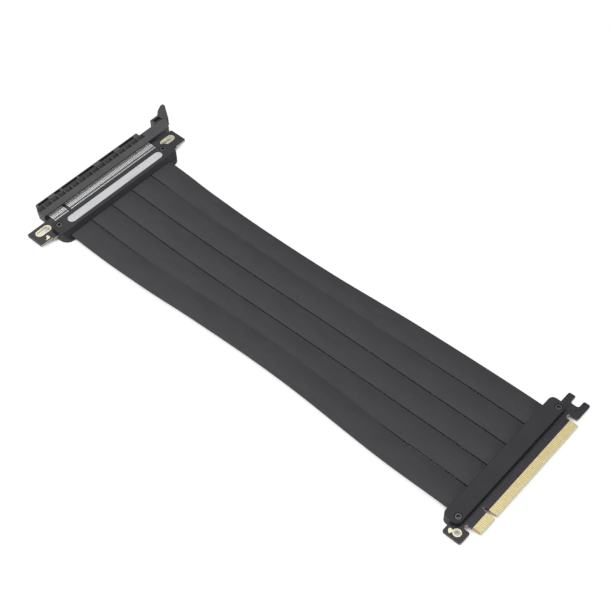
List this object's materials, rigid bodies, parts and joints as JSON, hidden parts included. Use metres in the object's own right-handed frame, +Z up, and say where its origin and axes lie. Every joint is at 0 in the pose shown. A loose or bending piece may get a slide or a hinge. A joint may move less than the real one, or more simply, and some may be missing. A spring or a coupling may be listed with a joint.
{
  "type": "ribbon riser cable",
  "caption": "Flat ribbon riser cable with a card-edge socket and latch at one end and a keyed card-edge plug at the other.",
  "frame": {"origin": "on the standing plane under the middle of the whole cable", "axes": "+Y along the ribbon from the plug to the socket's mouth, +X along the connectors towards the latch, +Z up"},
  "size_m": [0.132, 0.3424, 0.0072],
  "materials": {
    "moulded_black": "satin moulded",
    "lever_black": "satin moulded",
    "cover_black": "fine-grained moulded",
    "board_black": "glossy solder resist",
    "pale_strip": "smooth",
    "tin": "bright tinned",
    "gold": "gold plated",
    "screw_black": "black oxide",
    "ribbon_grey": "matt foil jacket",
    "resin": "matt"
  },
  "bodies": {
    "cable": {"socket_housing": "moulded_black", "socket_contacts_upper_short": "tin", "socket_contacts_lower_short": "tin", "socket_contacts_upper_long": "tin", "socket_contacts_lower_long": "tin", "socket_board": "board_black", "left_ear_slot_plating": "gold", "right_ear_slot_plating": "gold", "socket_top_cover": "cover_black", "socket_bottom_cover": "cover_black", "pale_inlay_strip": "pale_strip", "socket_left_screw": "screw_black", "socket_right_screw": "screw_black", "socket_potting": "resin", "ribbon_strip_1": "ribbon_grey", "ribbon_strip_2": "ribbon_grey", "ribbon_strip_3": "ribbon_grey", "ribbon_strip_4": "ribbon_grey", "ribbon_strip_5": "ribbon_grey", "plug_board": "board_black", "plug_foot_hole_plating": "gold", "plug_top_cover": "cover_black", "plug_bottom_cover": "cover_black", "plug_potting": "resin", "plug_left_screw": "screw_black", "plug_right_screw": "screw_black"},
    "latch": {"socket_latch": "lever_black"}
  },
  "joints": [
    {"name": "latch_hinge", "type": "hinge", "parent": "cable", "child": "latch", "pos_m": [0.05296, 0.15501, 0.0036], "axis": [0, 0, -1], "range_deg": [0, 20]}
  ]
}
